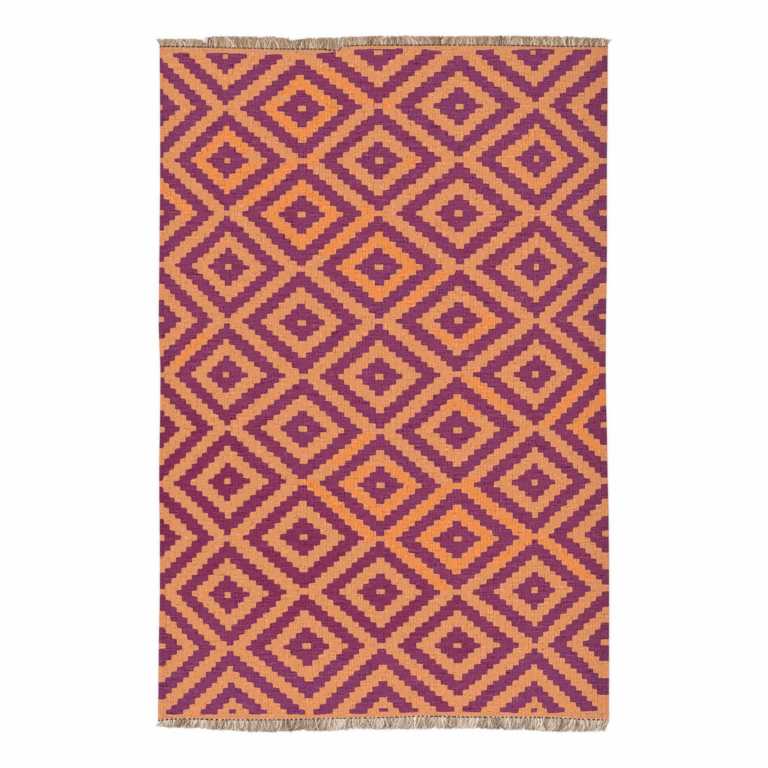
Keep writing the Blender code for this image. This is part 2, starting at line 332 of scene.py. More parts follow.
def chart():
    """The woven chart: for each cell, whether it is plum, and the tone of its dye lot.

    From a diamond's centre outwards come one orange cell, three plum steps, three orange, three
    plum, and the orange lattice between the diamonds. Tone runs from 0 to 1: for orange from the
    pale to the bright lot, for plum from the blue lot to the red.
    """
    columns, rows = np.indices((COLUMNS, ROWS))
    axes = [axis.column for axis in AXES]
    even = [(column, row) for column in axes[::2] for row in range(10, ROWS, 20)]
    odd = [(column, row) for column in axes[1::2] for row in range(0, ROWS - 12, 20)]
    reach = steps_from(even + odd, columns, rows).min(axis=0)
    plum = np.isin(reach, (1, 2, 3, 7, 8, DIAMOND_STEPS))
    # The half diamonds at the near end are two steps larger than the rest.
    ends = [(column, LAST_ROW) for column in axes[1::2]]
    end_reach = steps_from(ends, columns, rows).min(axis=0)
    in_end = (end_reach - 2 < reach) & (rows > odd[-1][1] + DIAMOND_STEPS)
    plum = np.where(in_end, np.isin(end_reach, (0, 3, 4, 5, 9, 10, 11)), plum)

    tone = np.zeros((COLUMNS, ROWS))
    orange = ~plum & ~in_end & (reach > 0)
    for centres, cells, lots in ((even + odd, orange & (reach <= 6), BRIGHT_RINGS),
                                 (even, orange & (reach > 6), BRIGHT_LATTICE)):
        nearest = steps_from(centres, columns, rows).argmin(axis=0)
        for lot in lots:
            own = cells & (nearest == centres.index((lot.column, lot.row)))
            own &= (lot.first_row <= rows) & (rows <= lot.last_row)
            for side in lot.sides.split():
                quarter = ((rows > lot.row) == ("S" in side)) & (
                    (columns >= lot.column) == ("E" in side))
                tone[own & quarter] = lot.strength
    plum_tone = np.full((COLUMNS, ROWS), 0.5)
    for lot in PLUM_LOTS:
        away = np.hypot(
            (columns - lot.column) / lot.half_columns, (rows - lot.row) / lot.half_rows)
        plum_tone += np.clip(1.6 - 1.3 * away, 0, 1) * (0.5 + 0.5 * lot.tone - plum_tone)
    return plum, np.where(plum, plum_tone, tone)


def split_end_rows(values, heart_first, heart_last):
    """The chart on the mesh's strips: a plain band at each end, and the end rows in two parts.

    The hearts of the half diamonds along both ends aren't woven in the outer of the two parts.
    """
    hearts = [axis.column for axis in AXES[1::2]]
    first, last = values[:, :1].copy(), values[:, -1:].copy()
    first[hearts], last[hearts] = heart_first, heart_last
    plain = np.zeros_like(first)
    return np.hstack([plain, first, values, last, plain])


# ---- The weave's places ----

def spline_weights(places, count):
    """Weights of a smooth curve through evenly spaced values, for each place from 0 to count-1."""
    places = np.clip(places, 0, count - 1)
    start = np.clip(places.astype(int), 0, count - 2)
    t = places - start
    shares = (
        (-t ** 3 + 2 * t ** 2 - t) / 2, (3 * t ** 3 - 5 * t ** 2 + 2) / 2,
        (-3 * t ** 3 + 4 * t ** 2 + t) / 2, (t ** 3 - t ** 2) / 2,
    )
    padded = np.zeros((len(places), count + 2))
    for step, weight in enumerate(shares):
        padded[np.arange(len(places)), start + step] += weight
    # The curve goes on straight past its first and last values.
    weights = padded[:, 1:-1]
    for outside, end, inside in ((0, 0, 1), (-1, -1, -2)):
        weights[:, end] += 2 * padded[:, outside]
        weights[:, inside] -= padded[:, outside]
    return weights


def drift(table, columns, rows):
    """Drift in metres at chart places, as an array of columns by rows."""
    across = spline_weights(columns / (AXES[1].column - AXES[0].column), len(AXES))
    along = spline_weights(rows / DRIFT_ROWS, len(table))
    return across @ (np.array(table) * MM).T @ along.T


def smooth_chance(chance, shape, widths, spread):
    """Random values with the given spread, alike over so many neighbours along each axis."""
    values = chance.normal(0, 1, shape)
    for axis, width in enumerate(widths):
        if width > 1:
            window = np.hanning(width + 2)[1:-1]
            values = np.apply_along_axis(np.convolve, axis, values, window, mode="same")
    return values * spread / values.std()


def drawn_corners(plum):
    """Which way each corner of the pattern is drawn in, as +X and +Y signs on edges by stations.

    Where three of the four cells round a point have one colour, the fourth one's corner is drawn
    back towards its own cell, because the weft turns there and is beaten down at a slant.
    """
    drawn = np.zeros((2, COLUMNS + 1, plum.shape[1] + 1))
    around = np.stack([plum[:-1, :-1], plum[1:, :-1], plum[:-1, 1:], plum[1:, 1:]]).astype(int)
    for cell, (to_right, to_far) in zip(around, ((-1, 1), (1, 1), (-1, -1), (1, -1))):
        alone = around.sum(axis=0) + 2 * cell == 3
        drawn[0, 1:-1, 1:-1] += to_right * alone
        drawn[1, 1:-1, 1:-1] += to_far * alone
    # A point of a diamond, whose two corners would be drawn the same way, stays square.
    for moves, lines in ((drawn[0].T, (plum[:-1] != plum[1:]).T),
                         (drawn[1], plum[:, :-1] != plum[:, 1:])):
        inner = moves[:, 1:-1]
        square = lines & (inner[:-1] == inner[1:])
        inner[:-1][square] = 0
        inner[1:][square] = 0
    return drawn


def column_edges():
    """Places of the chart columns' edges, in metres from the left selvedge."""
    edges = []
    for axis, after in zip(AXES, AXES[1:]):
        between = np.linspace(axis.right_mm, after.left_mm, after.column - axis.column)
        edges += [axis.left_mm, *between[:-1]]
    return np.array(edges + [AXES[-1].left_mm, AXES[-1].right_mm]) * MM


class Loom:
    """Where every rib and row of the cloth lies.

    Across the cloth run rib points, a valley and a crest for each warp and one last valley.
    Along it run stations: the far edge, the chart rows' ends, and the near edge.
    """

    def __init__(self, plum, settings):
        self.outline = ClothOutline()
        warps = np.full(COLUMNS, PLAIN_WARPS)
        for axis in AXES:
            warps[axis.column] = axis.warps
        self.edge_points = 2 * np.concatenate([[0], np.cumsum(warps)])
        ribs = np.arange(self.edge_points[-1] + 1)
        self.crest = ribs % 2 == 1
        self.rib_columns = np.interp(ribs, self.edge_points, np.arange(COLUMNS + 1))
        self.rib_column = self.rib_columns[:-1].astype(int)
        chance = np.random.default_rng(3)
        self.y = self.place_along(chance)
        self.x = self.place_across(chance)
        # The corners' slant fades out over half a column on each side.
        sideways, lengthways = drawn_corners(plum)
        edge = np.floor(self.rib_columns + 0.5).astype(int)
        fade = abs(1 - 2 * (self.rib_columns % 1))[:, None]
        self.x += settings.soften_across * fade * sideways[edge]
        self.y += settings.soften_along * fade * lengthways[edge]

    def place_along(self, chance):
        """Y of each rib point at each station."""
        bounds = np.arange(ROWS + 1)
        drifted = drift(DRIFT_ALONG_MM, self.rib_columns - 0.5, bounds - 0.5)
        x = self.outline.start_x + np.interp(
            self.rib_columns, np.arange(COLUMNS + 1), column_edges())
        # Each column is beaten down on its own, though neighbours are much alike.
        beat = smooth_chance(chance, (COLUMNS, len(bounds)), (1, 1), ALONE_MM * MM)
        beat += smooth_chance(chance, beat.shape, (5, 1), ALIKE_MM * MM)
        beat = beat[[*self.rib_column, LAST_COLUMN]]
        inner = self.edge_points[1:-1]
        beat[inner] = (beat[inner - 1] + beat[inner + 1]) / 2
        chart_y = self.outline.start_y - (FIRST_ROW_MM + ROW_MM * bounds) * MM - drifted + beat
        # The outermost chart rows are split where the half diamonds' hearts start and stop.
        first, last = chart_y[:, 0].copy(), chart_y[:, -1].copy()
        chart_y[:, 0] -= HEART_LATE_MM * MM
        chart_y[:, -1] += HEART_LATE_MM * MM
        return np.column_stack([
            self.outline.at("far", x), first, chart_y, last, self.outline.at("near", x)])

    def place_across(self, chance):
        """X of each rib point at each station."""
        rows = np.clip(np.arange(self.y.shape[1]) - END_STRIPS, 0, ROWS)
        edges = np.arange(COLUMNS + 1)
        x = self.outline.start_x + column_edges()[:, None]
        x = x + drift(DRIFT_ACROSS_MM, edges - 0.5, rows - 0.5)
        x += smooth_chance(chance, x.shape, (3, 5), SWAY_MM * MM)
        x[0] = self.outline.at("left", self.y[0])
        x[-1] = self.outline.at("right", self.y[-1])
        return np.array([np.interp(self.rib_columns, edges, line) for line in x.T]).T


# ---- Making meshes ----

def deselect_all():
    """Leave nothing selected, so that an operator acts on its own object alone."""
    for piece in bpy.context.scene.objects:
        piece.select_set(False)


def make_piece(name, points, faces, material, node, maps, marks):
    """A finished mesh piece that stands for its frame node and rides with the rug.

    maps has the UV of each face corner, and marks a value for each face or each point.
    """
    mesh = bpy.data.meshes.new(name)
    mesh.from_pydata(points.tolist(), [], faces)
    for map_name, places in maps.items():
        layer = mesh.uv_layers.new(name=map_name)
        layer.data.foreach_set("uv", np.asarray(places, np.float32).ravel())
    for mark_name, values in marks.items():
        domain = "FACE" if len(values) == len(faces) else "POINT"
        mark = mesh.attributes.new(mark_name, "FLOAT", domain)
        mark.data.foreach_set("value", np.asarray(values, np.float32))
    mesh.materials.append(material)
    if mesh.validate():
        raise RuntimeError(f"{name}: some faces are not sound")
    piece = bpy.data.objects.new(name, mesh)
    bpy.context.scene.collection.objects.link(piece)
    deselect_all()
    piece.select_set(True)
    bpy.context.view_layer.objects.active = piece
    bpy.ops.object.shade_smooth_by_angle(angle=math.radians(50))
    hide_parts(node)
    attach(piece, "root")
    return piece


def soft_ripple(x, y):
    """Slow rise and fall of cloth that has been walked on, from -1 to 1."""
    waves = ((0.31, 0.17, 0.4), (-0.12, 0.26, 1.9), (0.23, -0.41, 3.1), (0.62, 0.08, 5.2))
    return sum(
        np.sin(2 * math.pi * (x * across + y * along) / 0.1 + start)
        for across, along, start in waves) / len(waves)


class ClothMesh:
    """The cloth as one closed mesh: ribbed on top, open at its slits, flat underneath."""

    def __init__(self, loom, plum, settings):
        self.loom, self.plum, self.settings = loom, plum, settings
        self.ribs, self.stations = loom.x.shape
        self.ring = self.ribs + COLUMNS + 3         # points in one cross-section
        self.place_points()
        self.cut_slits()
        self.make_faces()
        sizes = [len(face) for face in self.faces]
        self.corner_faces = np.repeat(np.arange(len(sizes)), sizes)
        self.corner_points = np.array([point for face in self.faces for point in face])

    def place_points(self):
        """The points, section by section: ribs, right selvedge, underside, left selvedge."""
        loom, settings = self.loom, self.settings
        x, y, thick = loom.x.copy(), loom.y.copy(), loom.outline.thick
        z = np.where(loom.crest, thick, thick - settings.rib_high)[:, None]
        z = z + settings.ripple * (soft_ripple(x, y) - 0.5)
        # Neighbouring warps end a colour a little earlier or later in turn.
        odd = np.add.outer(np.arange(self.ribs) // 2, np.arange(self.stations)) % 2
        tooth = np.where(odd, -1, 1) * settings.tooth * loom.crest[:, None]
        y[:, END_STRIPS:-END_STRIPS] += tooth[:, END_STRIPS:-END_STRIPS]
        # The selvedges are rounded over.
        inwards = np.array([[1], [-1]]) * ROUND_MM * MM
        x[[0, -1]] += inwards
        z[[0, -1]] = thick * ROUND_HIGH
        top = np.stack([x, y, z], axis=2)
        under = np.stack([loom.x, loom.y, np.zeros_like(x)], axis=2)[loom.edge_points]
        sides = under[[-1, 0]] + (0, 0, thick * SIDE_HIGH)
        under[[0, -1], :, 0] += inwards
        ring = np.concatenate([top, sides[:1], under[::-1], sides[1:]])
        self.points = ring.transpose(1, 0, 2).reshape(-1, 3)
        # Each point's warp number, and its place along in millimetres
        warps = np.arange(self.ribs) / 2
        edge_warps = warps[loom.edge_points]
        around = [*warps, edge_warps[-1], *edge_warps[::-1], 0]
        along = (loom.outline.start_y - self.points[:, 1]) / MM
        self.weave = np.column_stack([np.tile(around, self.stations), along])

    def cut_slits(self):
        """Three more points at each place where two colours meet along a warp."""
        edges, strips = np.nonzero(self.plum[:-1] != self.plum[1:])
        edges += 1
        above = strips * self.ring + self.loom.edge_points[edges]
        below = above + self.ring
        middle = (self.points[above] + self.points[below]) / 2
        chance = np.random.default_rng(7)
        half = self.settings.slit_wide / 2 * chance.uniform(0.5, 1.3, len(strips))
        lift = (0, 0, LIP_HIGH * self.settings.rib_high)
        left, right = (middle + np.outer(way * half, (1, 0, 0)) + lift for way in (-1, 1))
        pit = middle * (1, 1, 0) + (0, 0, PIT_HIGH * self.loom.outline.thick)
        added = len(self.points) + np.arange(3 * len(strips)).reshape(3, -1)
        self.slits = edges, strips, above, below, *added
        self.points = np.concatenate([self.points, left, right, pit])
        between = (self.weave[above] + self.weave[below]) / 2
        self.weave = np.concatenate([self.weave, between, between, between])
        self.station = np.concatenate([
            np.repeat(np.arange(self.stations), self.ring), np.tile(strips + 0.5, 3)])
        # How far into a slit each point is, from 0 on the cloth's face to 1 in a pit
        self.depth = np.zeros(len(self.points))
        for points, deep in ((above, 0.3), (below, 0.3), (added[:2], 0.5), (added[2], 1)):
            self.depth[points] = deep

    def make_faces(self):
        """Faces, with the chart cell of each."""
        ring, ends = self.ring, self.loom.edge_points
        edges, strips, above, below, left, right, pit = self.slits
        # The chart column of each step round a section
        columns = np.array([
            *self.loom.rib_column, LAST_COLUMN, LAST_COLUMN, *range(LAST_COLUMN, -1, -1), 0, 0])
        strip, step = np.indices((self.stations - 1, ring))
        far, after = strip * ring, (step + 1) % ring
        quads = np.stack([far + step, far + ring + step, far + ring + after, far + after], axis=2)
        plain = np.ones(step.shape, bool)
        plain[strips, above % ring - 1] = False
        plain[strips, above % ring] = False
        faces = quads[plain].tolist()
        cells = [np.column_stack([columns[step[plain]], strip[plain]])]
        self.closing = np.flatnonzero(step[plain] == ring - 1)

        # The face on each side of a slit, and the slit's four walls, which go down to its pit
        for column, points in (
                (edges - 1, (above - 1, below - 1, below, left, above)),
                (edges, (above, right, below, below + 1, above + 1)),
                (edges - 1, (above, left, pit)), (edges - 1, (left, below, pit)),
                (edges, (below, right, pit)), (edges, (right, above, pit))):
            faces += np.column_stack(points).tolist()
            cells.append(np.column_stack([column, strips]))
        self.surface_faces = len(faces)

        # One face for each column closes each end, from the ribs down to the underside.
        for station, order in ((0, 1), (self.stations - 1, -1)):
            for column in range(COLUMNS):
                around = [*range(ends[column], ends[column + 1] + 1)]
                if column == LAST_COLUMN:
                    around.append(self.ribs)
                around += [ring - 3 - column, ring - 2 - column]
                if column == 0:
                    around.append(ring - 1)
                faces.append([station * ring + point for point in around[::order]])
            cells.append(np.column_stack([np.arange(COLUMNS), np.zeros(COLUMNS, int)]))
        self.faces, self.cells = faces, np.concatenate(cells)

    def colour_changes(self):
        """For each face corner, its distance in mm from its cell's four sides.

        A side counts only where the colour changes across it, or the cloth ends at the twining.
        Returns left and right, then far and near.
        """
        column, strip = self.cells[self.corner_faces].T
        plum = np.pad(self.plum.astype(int), ((1, 1), (0, 0)), mode="edge")
        plum = np.pad(plum, ((0, 0), (1, 1)), constant_values=2)
        first_warp = self.loom.edge_points / 2
        wide = (np.diff(column_edges()) / MM)[column]
        tall = np.full(self.stations - 1, ROW_MM)
        tall[[1, -2]] = HEART_LATE_MM
        tall[[2, -3]] = ROW_MM - HEART_LATE_MM
        tall = tall[strip]
        across = self.weave[self.corner_points, 0] - first_warp[column]
        across = across / np.diff(first_warp)[column] * wide
        along = (self.station[self.corner_points] - strip) * tall
        here = plum[column + 1, strip + 1]
        away = [
            np.where(plum[column + 1 + right, strip + 1 + near] != here, reach, ROW_MM)
            for right, near, reach in (
                (-1, 0, across), (1, 0, wide - across), (0, -1, along), (0, 1, tall - along))]
        return np.column_stack(away[:2]), np.column_stack(away[2:])

    def spread_map(self):
        """A flat layout of every face: top and underside side by side, edges in strips."""
        point, face = self.corner_points, self.corner_faces
        _, _, above, _, left, right, pit = self.slits
        around = np.empty(len(self.points))
        around[:self.stations * self.ring] = np.tile([
            *np.interp(self.loom.rib_columns, [0, COLUMNS], TOP_U), RIGHT_SIDE_U,
            *np.linspace(*UNDER_U, COLUMNS + 1), LEFT_SIDE_U], self.stations)
        top_wide = TOP_U[1] - TOP_U[0]
        sway = self.settings.slit_wide / CLOTH_FLAT[0] * top_wide / 2
        for added, way in ((left, -1), (right, 1), (pit, 0)):
            around[added] = around[above] + way * sway
        along = np.interp(self.weave[:, 1], CLOTH_V_MM, CLOTH_V)
        places = np.column_stack([around, along])[point]
        # The last side strip closes the ring, so its top corners sit beyond the rest.
        places[np.isin(face, self.closing) & (point % self.ring == 0), 0] = CLOSING_U
        # End faces stand in thin strips beyond the ends of the cloth.
        for end, base in enumerate(END_V):
            corner = (face - self.surface_faces) // COLUMNS == end
            x, _, z = self.points[point[corner]].T
            x = (x - self.points[:, 0].min()) / np.ptp(self.points[:, 0])
            places[corner, 0] = TOP_U[0] + top_wide * x
            places[corner, 1] = base + END_TALL * z / self.loom.outline.thick
        return places


def tubes(paths, radii, sides, chunk, pressed=1):
    """Many tubes as one set of points and faces, with a map of their own.

    paths is tubes by points by XYZ, and radii tubes by points. pressed is how high a tube is for
    its width. chunk is how many steps of a tube lie in one cell of the flat layout. Returns
    points, faces, the corners' yarn and layout maps, and the tube of each face.
    """
    count, steps = paths.shape[0], paths.shape[1] - 1
    ahead = np.gradient(paths, axis=1)
    ahead /= np.linalg.norm(ahead, axis=2, keepdims=True)
    sideways = np.cross(ahead, [0, 0, 1])
    sideways /= np.linalg.norm(sideways, axis=2, keepdims=True)
    upwards = np.cross(sideways, ahead)
    angles = 2 * math.pi * np.arange(sides) / sides
    circle = (np.cos(angles)[:, None] * sideways[:, :, None]
              + pressed * np.sin(angles)[:, None] * upwards[:, :, None])
    points = paths[:, :, None] + circle * radii[:, :, None, None]
    order = np.arange(count * (steps + 1) * sides).reshape(count, steps + 1, sides)
    after = np.roll(order, -1, axis=2)
    quads = np.stack([order[:, :-1], after[:, :-1], after[:, 1:], order[:, 1:]], axis=3)
    caps = np.concatenate([order[:, 0, ::-1], order[:, -1]])

    # Each quad's corners on the yarn map: round the tube, and millimetres along it
    lengths = np.linalg.norm(np.diff(paths, axis=1), axis=2)
    along = np.concatenate([np.zeros((count, 1)), lengths.cumsum(axis=1)], axis=1) / MM
    tube, step, side = (index[..., None] for index in np.indices((count, steps, sides)))
    around, ends = (side + (0, 1, 1, 0)) / sides, np.array([0, 0, 1, 1])
    yarn = [np.stack([around, along[tube, step + ends]], axis=4).reshape(-1, 2)]
    # And on the layout, where each chunk of a tube has a cell of its own in a square grid
    chunks = math.ceil(steps / chunk)
    grid = math.ceil(math.sqrt(count * chunks))
    cell = tube * chunks + step // chunk
    layout = [np.stack([
        (cell % grid + QUADS_U[0] + QUADS_U[1] * (step % chunk + ends) / chunk) / grid,
        (cell // grid + QUADS_V[0] + QUADS_V[1] * around) / grid], axis=4).reshape(-1, 2)]
    # The caps lie beside the quads, in the first cell of their tube.
    cell = np.arange(count)[:, None] * chunks
    for at_end, turn in ((0, angles[::-1]), (1, angles)):
        yarn.append(np.stack(np.broadcast_arrays(
            angles / (2 * math.pi), along[:, -at_end, None]), axis=2).reshape(-1, 2))
        layout.append(np.stack([
            (cell % grid + CAP_U[0] + CAP_U[1] * np.cos(turn)) / grid,
            (cell // grid + CAP_V[0] + CAP_APART * at_end + CAP_V[1] * np.sin(turn)) / grid],
            axis=2).reshape(-1, 2))
    faces = quads.reshape(-1, 4).tolist() + caps.tolist()
    owner = np.concatenate([tube.ravel(), np.arange(count), np.arange(count)])
    maps = {"yarn": np.concatenate(yarn), "OFBake": np.concatenate(layout)}
    return points.reshape(-1, 3), faces, maps, owner


# ---- Materials ----

def fill_sockets(node, sockets):
    """Give a node's sockets their values, or link them to other nodes' outputs."""
    for socket, value in sockets.items():
        if isinstance(value, bpy.types.NodeSocket):
            node.id_data.links.new(value, node.inputs[socket])
        else:
            node.inputs[socket].default_value = value


def add_node(tree, kind, *inputs, output=0, sockets=(), **settings):
    """Add a shader node, and return one of its outputs.

    inputs fill its sockets in their order, and sockets fills those that it names.
    """
    node = tree.nodes.new("ShaderNode" + kind)
    for name, value in settings.items():
        setattr(node, name, value)
    fill_sockets(node, {**dict(enumerate(inputs)), **dict(sockets)})
    return node.outputs[output]


def new_material(name):
    """A new material, and add_node for its nodes."""
    material = bpy.data.materials.new(name)
    material.use_nodes = True
    return material, partial(add_node, material.node_tree)


def finish_material(material, **sockets):
    """Set the material's shader, and return the material."""
    fill_sockets(
        material.node_tree.nodes["Principled BSDF"],
        {name.replace("_", " "): value for name, value in sockets.items()})
    return material


def opaque(rgb):
    """A colour property with full alpha, as a socket takes it."""
    return (*rgb, 1)


def spread_colours(ramp, colours):
    """Spread colours evenly over a colour ramp."""
    ramp.elements[0].color = opaque(colours[0])
    ramp.elements[1].color = opaque(colours[-1])
    for index, rgb in enumerate(colours[1:-1], start=1):
        ramp.elements.new(index / (len(colours) - 1)).color = opaque(rgb)


def woven_wool(settings):
    """Hand-dyed wool, packed weft over hidden warps.

    Matt and a little fuzzy. Each pick of hand-spun weft takes the dye a little differently, so
    both colours are streaked across the rug, and they change where a new lot was tied in.
    """
    material, add = new_material("Hand-dyed wool, slit-woven")
    plum, tone, depth, worn, bare = (
        add("Attribute", attribute_name=name, output="Fac")
        for name in ("plum", "tone", "slit_depth", "worn", "bare"))
    weave = add("UVMap", uv_map="weave")
    place = add("TexCoord", output="Object")
    warps = add("SeparateXYZ", weave)
    along = warps.node.outputs["Y"]

    # Uneven dye, in patches about 30 mm across and 11 mm tall
    patches = add("Mapping", place, sockets={"Scale": (1 / (30 * MM), 1 / (11 * MM), 0)})
    patches = add("TexNoise", patches, sockets={"Scale": 1, "Detail": 3})
    # Dye lots, which shade into each other a little with the yarn
    uneven = add("MapRange", patches, 0.3, 0.7, -0.4, 0.4)
    lot = add("Math", tone, uneven, operation="ADD", use_clamp=True)
    oranges = add("MixRGB", lot, opaque(settings.pale_orange), opaque(settings.bright_orange))
    plums = add("ValToRGB", lot)
    spread_colours(
        plums.node.color_ramp, [settings.blue_plum, settings.plum, settings.red_plum])
    # Where two colours meet, some dye has run: pink into the orange, rust into the plum.
    nearest = ROW_MM
    for map_name in ("sideways", "lengthways"):
        away = add("SeparateXYZ", add("UVMap", uv_map=map_name))
        for side in away.node.outputs[:2]:
            nearest = add("Math", side, nearest, operation="MINIMUM")
    bleed = add("MapRange", nearest, 1, 4.5, 1, 0)
    oranges = add("MixRGB", bleed, oranges, opaque(settings.run_pink))
    plums = add("MixRGB", bleed, plums, opaque(settings.run_rust))
    dyed = add("MixRGB", plum, oranges, plums)
    dyed = add("MixRGB", bare, dyed, opaque(settings.bare_warp))

    # What makes the wool lighter or darker, and by how much in orange and in plum: first marks
    # along the yarn, each so many warps across and so many millimetres along, the last of them
    # painted light and shade.
    marks = []
    for warps_wide, mm_tall, detail, roughness, in_orange, in_plum in (
            (1.5, 3.8, 2, 0.5, 0.24, 0.85),     # groups of picks, over a warp or two
            (16, 3.4, 1, 0.5, 0.2, 0.8),        # streaks, as long as one yarn's colour lasts
            (2.2, 5.2, 3, 0.7, 0.55, 0.6),      # slubs, where the yarn is thicker or thinner
            (1 / 1.3, 30, 1, 0.5, 0.1, 0.25)):  # painted light and shade, where warps stand higher or lower
        grain = add("Mapping", weave, sockets={"Scale": (1 / warps_wide, 1 / mm_tall, 0)})
        grain = add(
            "TexNoise", grain, sockets={"Scale": 1, "Detail": detail, "Roughness": roughness})
        marks.append((grain, in_orange, in_plum))
    # Warps lie in pairs, and painted shade darkens the deeper valleys between the pairs.
    pair = add("Math", warps, math.pi, operation="MULTIPLY")
    pair = add("Math", pair, operation="COSINE")
    pair = add("Math", pair, -0.5, 0.5, operation="MULTIPLY_ADD")
    # Painted shade darkens the valleys between the ribs.
    valley = add("Math", warps, operation="FRACT")
    valley = add("Math", valley, 0.5, operation="SUBTRACT")
    valley = add("Math", valley, operation="ABSOLUTE")
    valley = add("MapRange", valley, 0.3, 0.5, 0.53, 0.37)
    marks += [(pair, 0.06, 0.09), (valley, 1, 1.2), (patches, 0.12, 0.3)]
    light = 0.0
    for mark, in_orange, in_plum in marks:
        swing = add("MapRange", plum, 0, 1, in_orange, in_plum)
        mark = add("Math", mark, 0.5, operation="SUBTRACT")
        light = add("Math", mark, swing, light, operation="MULTIPLY_ADD")
    # Some wool, in patches about 20 mm across, was spun evenly, and some has all its lumps.
    spun = add("TexNoise", place, sockets={"Scale": 1 / (20 * MM), "Detail": 1})
    lumpy = add("MapRange", spun, 0.37, 0.65, 0.18, 1.55)
    extra = add("Math", light, lumpy, operation="MULTIPLY")
    light = add("Math", extra, 1, operation="ADD")
    # Lighter wool is also paler: loose undyed fibre stands out of it, and a painted sheen lies on
    # its fuzz.
    grey = add("RGBToBW", dyed)
    pale_fibre_and_sheen = add("Math", grey, extra, operation="MULTIPLY")
    lit = add("VectorMath", dyed, sockets={"Scale": light}, operation="SCALE")
    lit = add("VectorMath", lit, pale_fibre_and_sheen, operation="ADD")
    # Painted shade darkens the slits' walls, and the painted shade along the selvedges and towards
    # the right is laid over it.
    slit = add("MapRange", depth, 0, 1, 1, 0.35)
    shade = add("Math", slit, worn, operation="MULTIPLY")
    lit = add("VectorMath", lit, sockets={"Scale": shade}, operation="SCALE")

    # Picks of weft over each rib, 1.2 mm apart and half a pick off on the next warp
    warp = add("Math", warps, operation="FLOOR")
    offset = add("Math", warp, 0.6, operation="MULTIPLY")
    turn = add("Math", along, offset, operation="ADD")
    turn = add("Math", turn, 2 * math.pi / 1.2, operation="MULTIPLY")
    beads = add("Math", turn, operation="SINE")
    fuzz = add("TexNoise", place, sockets={"Scale": 1 / (0.6 * MM), "Detail": 3})
    height = add("Math", fuzz, 0.8, beads, operation="MULTIPLY_ADD")
    bump = add("Bump", sockets={"Height": height, "Distance": 0.09 * MM, "Strength": 0.7})
    return finish_material(
        material, Base_Color=lit, Normal=bump, Roughness=0.88, Metallic=0, IOR=1.5,
        Specular_IOR_Level=0.25, Sheen_Weight=0.12, Sheen_Roughness=0.5)


def spun_yarn(name, colours, ply_mm):
    """Plied wool yarn whose colour runs over a ramp by the tone of each strand.

    Matt, with painted shade in the slanting groove of its plies, and loose fibre that lightens it
    here and there.
    """
    material, add = new_material(name)
    tone = add("Attribute", attribute_name="tone", output="Fac")
    around = add("SeparateXYZ", add("UVMap", uv_map="yarn"))
    place = add("TexCoord", output="Object")
    # Fibre, in streaks about 1.4 mm
    fibre = add("TexNoise", place, sockets={"Scale": 1 / (1.4 * MM), "Detail": 3})
    spread = add("MapRange", fibre, 0.2, 0.8, -0.16, 0.16)
    mixed = add("Math", tone, spread, operation="ADD", use_clamp=True)
    shades = add("ValToRGB", mixed)
    spread_colours(shades.node.color_ramp, colours)
    # The groove between the plies, which winds round the yarn twice in ply_mm, darkened with
    # painted shade
    along = around.node.outputs["Y"]
    wound = add("Math", along, 1 / ply_mm, around, operation="MULTIPLY_ADD")
    turn = add("Math", wound, 4 * math.pi, operation="MULTIPLY")
    groove = add("Math", turn, operation="SINE")
    darker = add("MapRange", groove, -1, 0, 0.84, 1)
    shaded = add("VectorMath", shades, sockets={"Scale": darker}, operation="SCALE")
    bump = add("Bump", sockets={"Height": groove, "Distance": 0.12 * MM, "Strength": 0.7})
    return finish_material(
        material, Base_Color=shaded, Normal=bump, Roughness=0.92, Metallic=0, IOR=1.5,
        Specular_IOR_Level=0.2, Sheen_Weight=0.04, Sheen_Roughness=0.5)


# ---- Operators ----

class KILIM_OT_weave_cloth(bpy.types.Operator):
    """Weave the cloth from its chart, with its ribs, slits and dye lots"""

    bl_idname = "kilim.weave_cloth"
    bl_label = "Weave Cloth"

    def execute(self, context):
        settings = context.scene.kilim_weave
        plum, tone = chart()
        plum, tone = split_end_rows(plum, True, False).astype(bool), split_end_rows(tone, 0.5, 0)
        cloth = ClothMesh(Loom(plum, settings), plum, settings)
        sideways, lengthways = cloth.colour_changes()
        column, strip = cloth.cells.T
        plum, tone = plum[column, strip], tone[column, strip]
        # Painted shade along the selvedges, most of all on the plum, and painted shade that
        # deepens towards the right and at the far right; the orange is a little lighter towards
        # the near end.
        to_right = np.clip(column / LAST_COLUMN * 5 - 4, 0, 1)
        to_near = np.clip((strip - END_STRIPS) / LAST_ROW * 4 - 3, 0, 1)
        selvedge = np.clip(1 - np.minimum(1.2 * column, LAST_COLUMN - column) / 4, 0, 1)
        far_right = np.clip(2 * column / LAST_COLUMN - 1, 0, 1) * np.clip(1 - strip / 24, 0, 1)
        worn = 1 - 0.045 * to_right - 0.07 * far_right + 0.02 * to_near * (1 - plum)
        worn = worn - np.where(plum, 0.15, 0.05) * selvedge
        # The outermost weft is beaten in less tightly, and the warp shows through it.
        bare = np.select([strip == 0, strip == strip.max()], [0.2, 0.12], 0.0)
        piece = make_piece(
            "woven_cloth", cloth.points, cloth.faces, woven_wool(settings), "woven_field",
            maps={"weave": cloth.weave[cloth.corner_points], "sideways": sideways,
                  "lengthways": lengthways, "OFBake": cloth.spread_map()},
            marks={"plum": plum, "tone": tone, "worn": worn, "bare": bare,
                   "slit_depth": cloth.depth})
        return {"FINISHED"}


